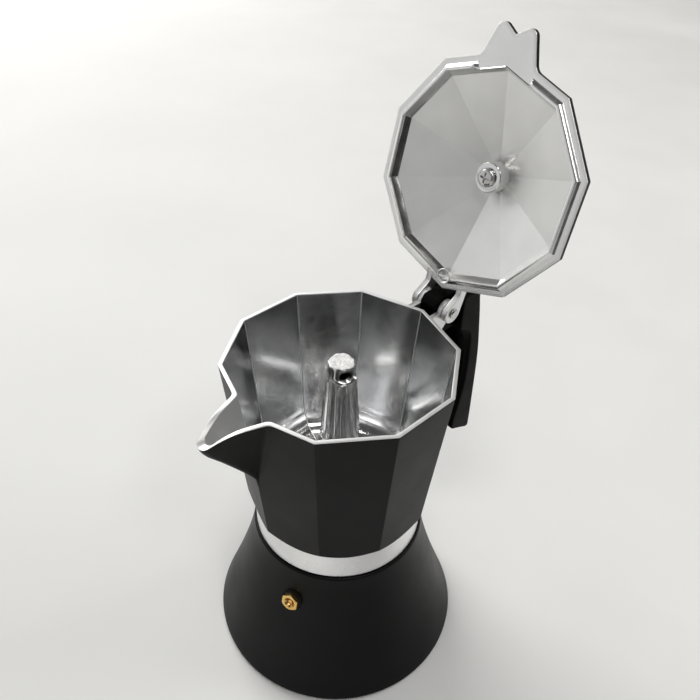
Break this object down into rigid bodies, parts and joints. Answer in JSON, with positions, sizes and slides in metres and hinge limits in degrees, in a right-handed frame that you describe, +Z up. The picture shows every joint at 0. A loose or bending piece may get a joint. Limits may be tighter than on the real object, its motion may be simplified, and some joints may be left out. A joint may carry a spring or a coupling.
{
  "type": "moka pot",
  "caption": "Stovetop moka pot with a flared induction base, a ten-sided upper chamber with a pointed spout, a side handle and a hinged lid with a knob.",
  "frame": {"origin": "centre of the steel base plate's underside, where the pot stands", "axes": "+Z up along the pot's axis; the spout points along -Y and the handle along +Y; the lid's hinge pin runs along X"},
  "size_m": [0.1272, 0.1955, 0.2916],
  "materials": {
    "coated_aluminium": "matte dark coating over cast aluminium, machined bare on the band and rim",
    "steel": "brushed",
    "brass": "machined",
    "rubber": "matte black",
    "silicone": "matte off-white",
    "bright_aluminium": "polished",
    "satin_aluminium": "satin underside, matte dark coating outside",
    "black_plastic": "satin black heat-resistant plastic"
  },
  "bodies": {
    "lower": {"boiler": "coated_aluminium", "base_plate": "steel", "valve_body": "brass", "valve_washer": "rubber", "valve_seat": "brass", "valve_spring": "steel", "funnel": "bright_aluminium", "funnel_screen": "bright_aluminium"},
    "relief": {"valve_pin": "steel"},
    "seal": {"gasket": "silicone", "filter_plate": "bright_aluminium"},
    "upper": {"upper_chamber": "coated_aluminium", "column": "bright_aluminium", "handle": "black_plastic", "hinge_pin": "steel", "handle_pin": "steel"},
    "cover": {"lid": "satin_aluminium", "knob_washer": "rubber", "knob": "black_plastic", "knob_screw": "steel"}
  },
  "joints": [
    {"name": "seal_lift", "type": "slide", "parent": "lower", "child": "seal", "axis": [0, 0, 1], "range_m": [0, 0.0061]},
    {"name": "upper_turn", "type": "hinge", "parent": "seal", "child": "upper", "pos_m": [0, 0, 0.0743], "axis": [0, 0, 1], "range_deg": [0, 720]},
    {"name": "lid_hinge", "type": "hinge", "parent": "upper", "child": "cover", "pos_m": [0, 0.06065, 0.1724], "axis": [1, 0, 0], "range_deg": [0, 103.9]},
    {"name": "valve_relief", "type": "slide", "parent": "lower", "child": "relief", "axis": [0.3229, -0.9119, 0.2534], "range_m": [0, 0.0012], "stiffness_N_per_m": 400, "springref_m": -0.002, "deforming": ["valve_spring"]}
  ],
  "couplings": [
    {"joint": "seal_lift", "follows": "upper_turn", "m_per_rad": 0.00047746}
  ]
}
